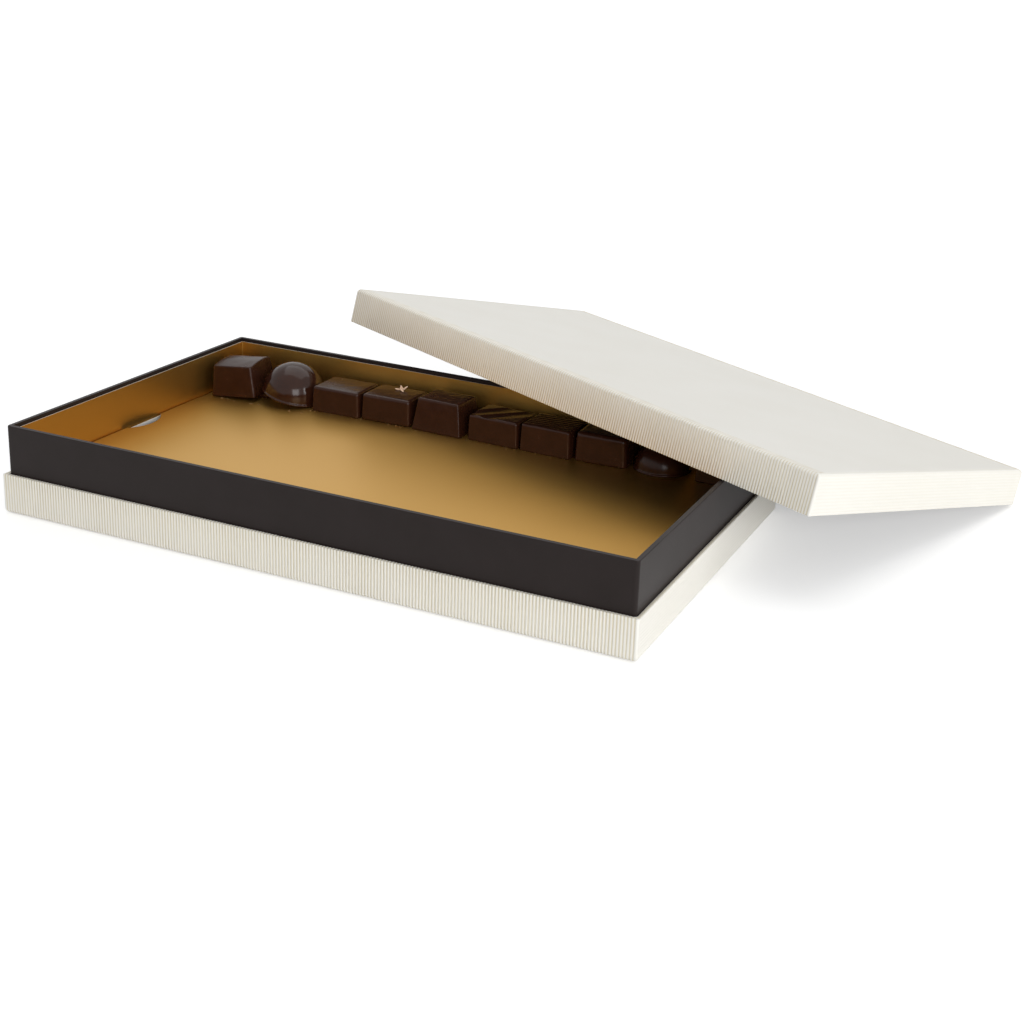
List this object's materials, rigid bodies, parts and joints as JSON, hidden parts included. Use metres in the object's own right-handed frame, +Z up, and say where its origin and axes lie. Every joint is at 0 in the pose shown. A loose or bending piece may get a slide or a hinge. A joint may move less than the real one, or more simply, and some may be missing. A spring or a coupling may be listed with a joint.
{
  "type": "chocolate box",
  "caption": "Rigid box of chocolates in ivory ribbed paper, its lid leaning on the dark neck; gold platform with a row of chocolates.",
  "frame": {"origin": "centre of the base tray's underside, on the surface that the box stands on", "axes": "+X along the box's long side, towards the leaning lid's low end; +Y across it, towards the row of chocolates; +Z up"},
  "size_m": [0.4016, 0.3524, 0.0708],
  "materials": {
    "ribbed_paper": "matte",
    "dark_paper": "satin",
    "gold_card": "satin",
    "greyboard": "matte",
    "lining_paper": "matte",
    "kraft_tape": "matte",
    "chocolate": "satin",
    "glossy_chocolate": "gloss",
    "nibs": "matte"
  },
  "bodies": {
    "base": {"base_wrap": "ribbed_paper", "base_board": "greyboard", "base_corner_stays": "kraft_tape", "base_lining": "lining_paper", "neck_board": "greyboard", "neck_joint_tape": "kraft_tape", "neck_wrap": "dark_paper", "gold_wall_lining": "gold_card"},
    "pad": {"gold_platform": "gold_card", "chocolate_crowned": "glossy_chocolate", "chocolate_dome_left": "glossy_chocolate", "chocolate_plain_block": "chocolate", "chocolate_nib_topped": "chocolate", "chocolate_tall_block": "chocolate", "chocolate_wave_topped": "chocolate", "chocolate_fine_lined": "chocolate", "chocolate_round_edged": "chocolate", "chocolate_dome_right": "glossy_chocolate", "chocolate_end_block": "chocolate", "chocolate_nibs": "nibs", "chocolate_crumb": "chocolate"},
    "lid": {"lid_wrap": "ribbed_paper", "lid_board": "greyboard", "lid_corner_stays": "kraft_tape", "lid_lining": "dark_paper"}
  },
  "joints": [
    {"name": "lid_lift", "type": "slide", "parent": "base", "child": "lid", "axis": [0, 0, 1], "range_m": [0, 0.15]},
    {"name": "pad_tip", "type": "hinge", "parent": "base", "child": "pad", "pos_m": [0.145, 0, 0.0142], "axis": [0, 1, 0], "range_deg": [0, 4.5]}
  ]
}
